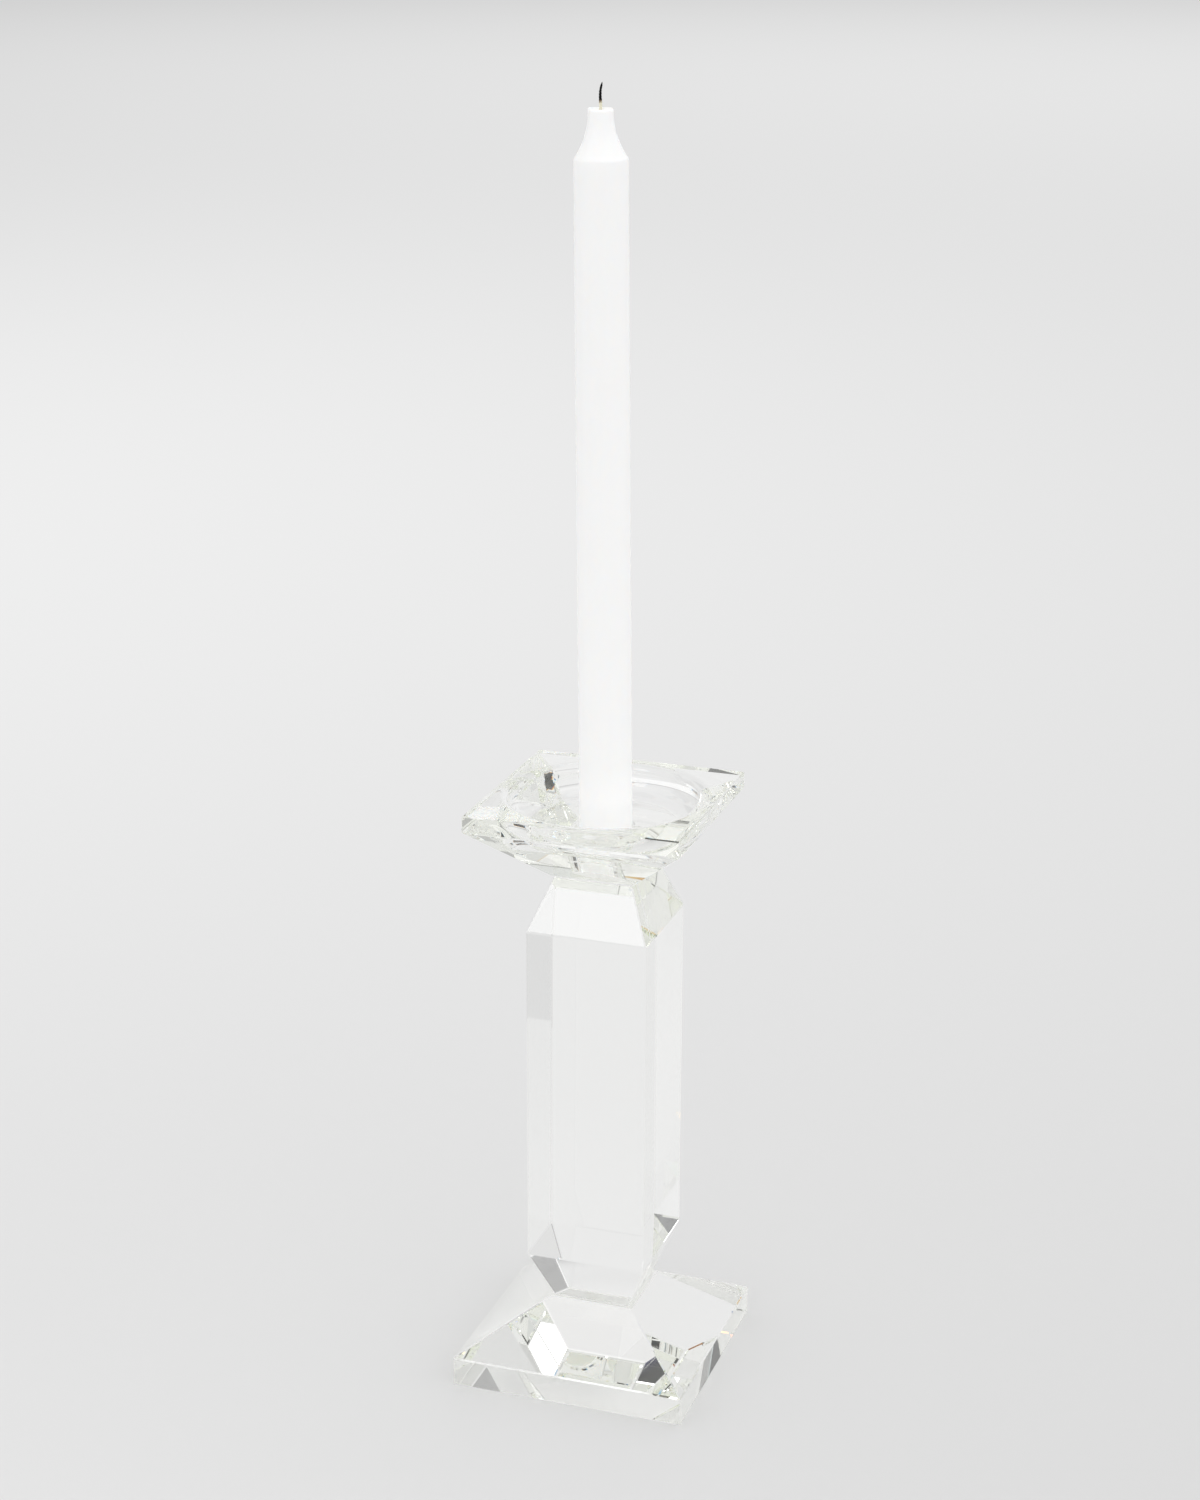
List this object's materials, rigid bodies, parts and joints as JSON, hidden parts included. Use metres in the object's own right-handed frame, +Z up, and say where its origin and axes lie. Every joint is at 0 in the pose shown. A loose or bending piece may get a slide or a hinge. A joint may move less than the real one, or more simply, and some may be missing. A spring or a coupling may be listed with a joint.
{
  "type": "glass candlestick with candle",
  "caption": "Faceted clear glass candlestick: square bevelled foot, square tapered column and square drip pan with a round dish, holding a white dinner candle in a loose socket.",
  "frame": {"origin": "centre of the foot's underside, on the surface that it stands on", "axes": "+Z up along the column, X and Y square to the sides of the foot"},
  "size_m": [0.102, 0.102, 0.545],
  "materials": {
    "crystal_glass": "polished clear crystal glass with a faint green tint in its thickness",
    "clear_adhesive": "cured clear adhesive, matched to the glass",
    "candle_wax": "smooth white paraffin wax with a soft satin surface",
    "braided_wick": "braided cotton, cream at its root and charred black at its end"
  },
  "bodies": {
    "holder": {"base": "crystal_glass", "lower_bond": "clear_adhesive", "column": "crystal_glass", "upper_bond": "clear_adhesive", "drip_pan": "crystal_glass"},
    "candle": {"candle": "candle_wax", "wick": "braided_wick"}
  },
  "joints": [
    {"name": "candle_lift", "type": "slide", "parent": "holder", "child": "candle", "axis": [0, 0, 1], "range_m": [0, 0.06]}
  ]
}
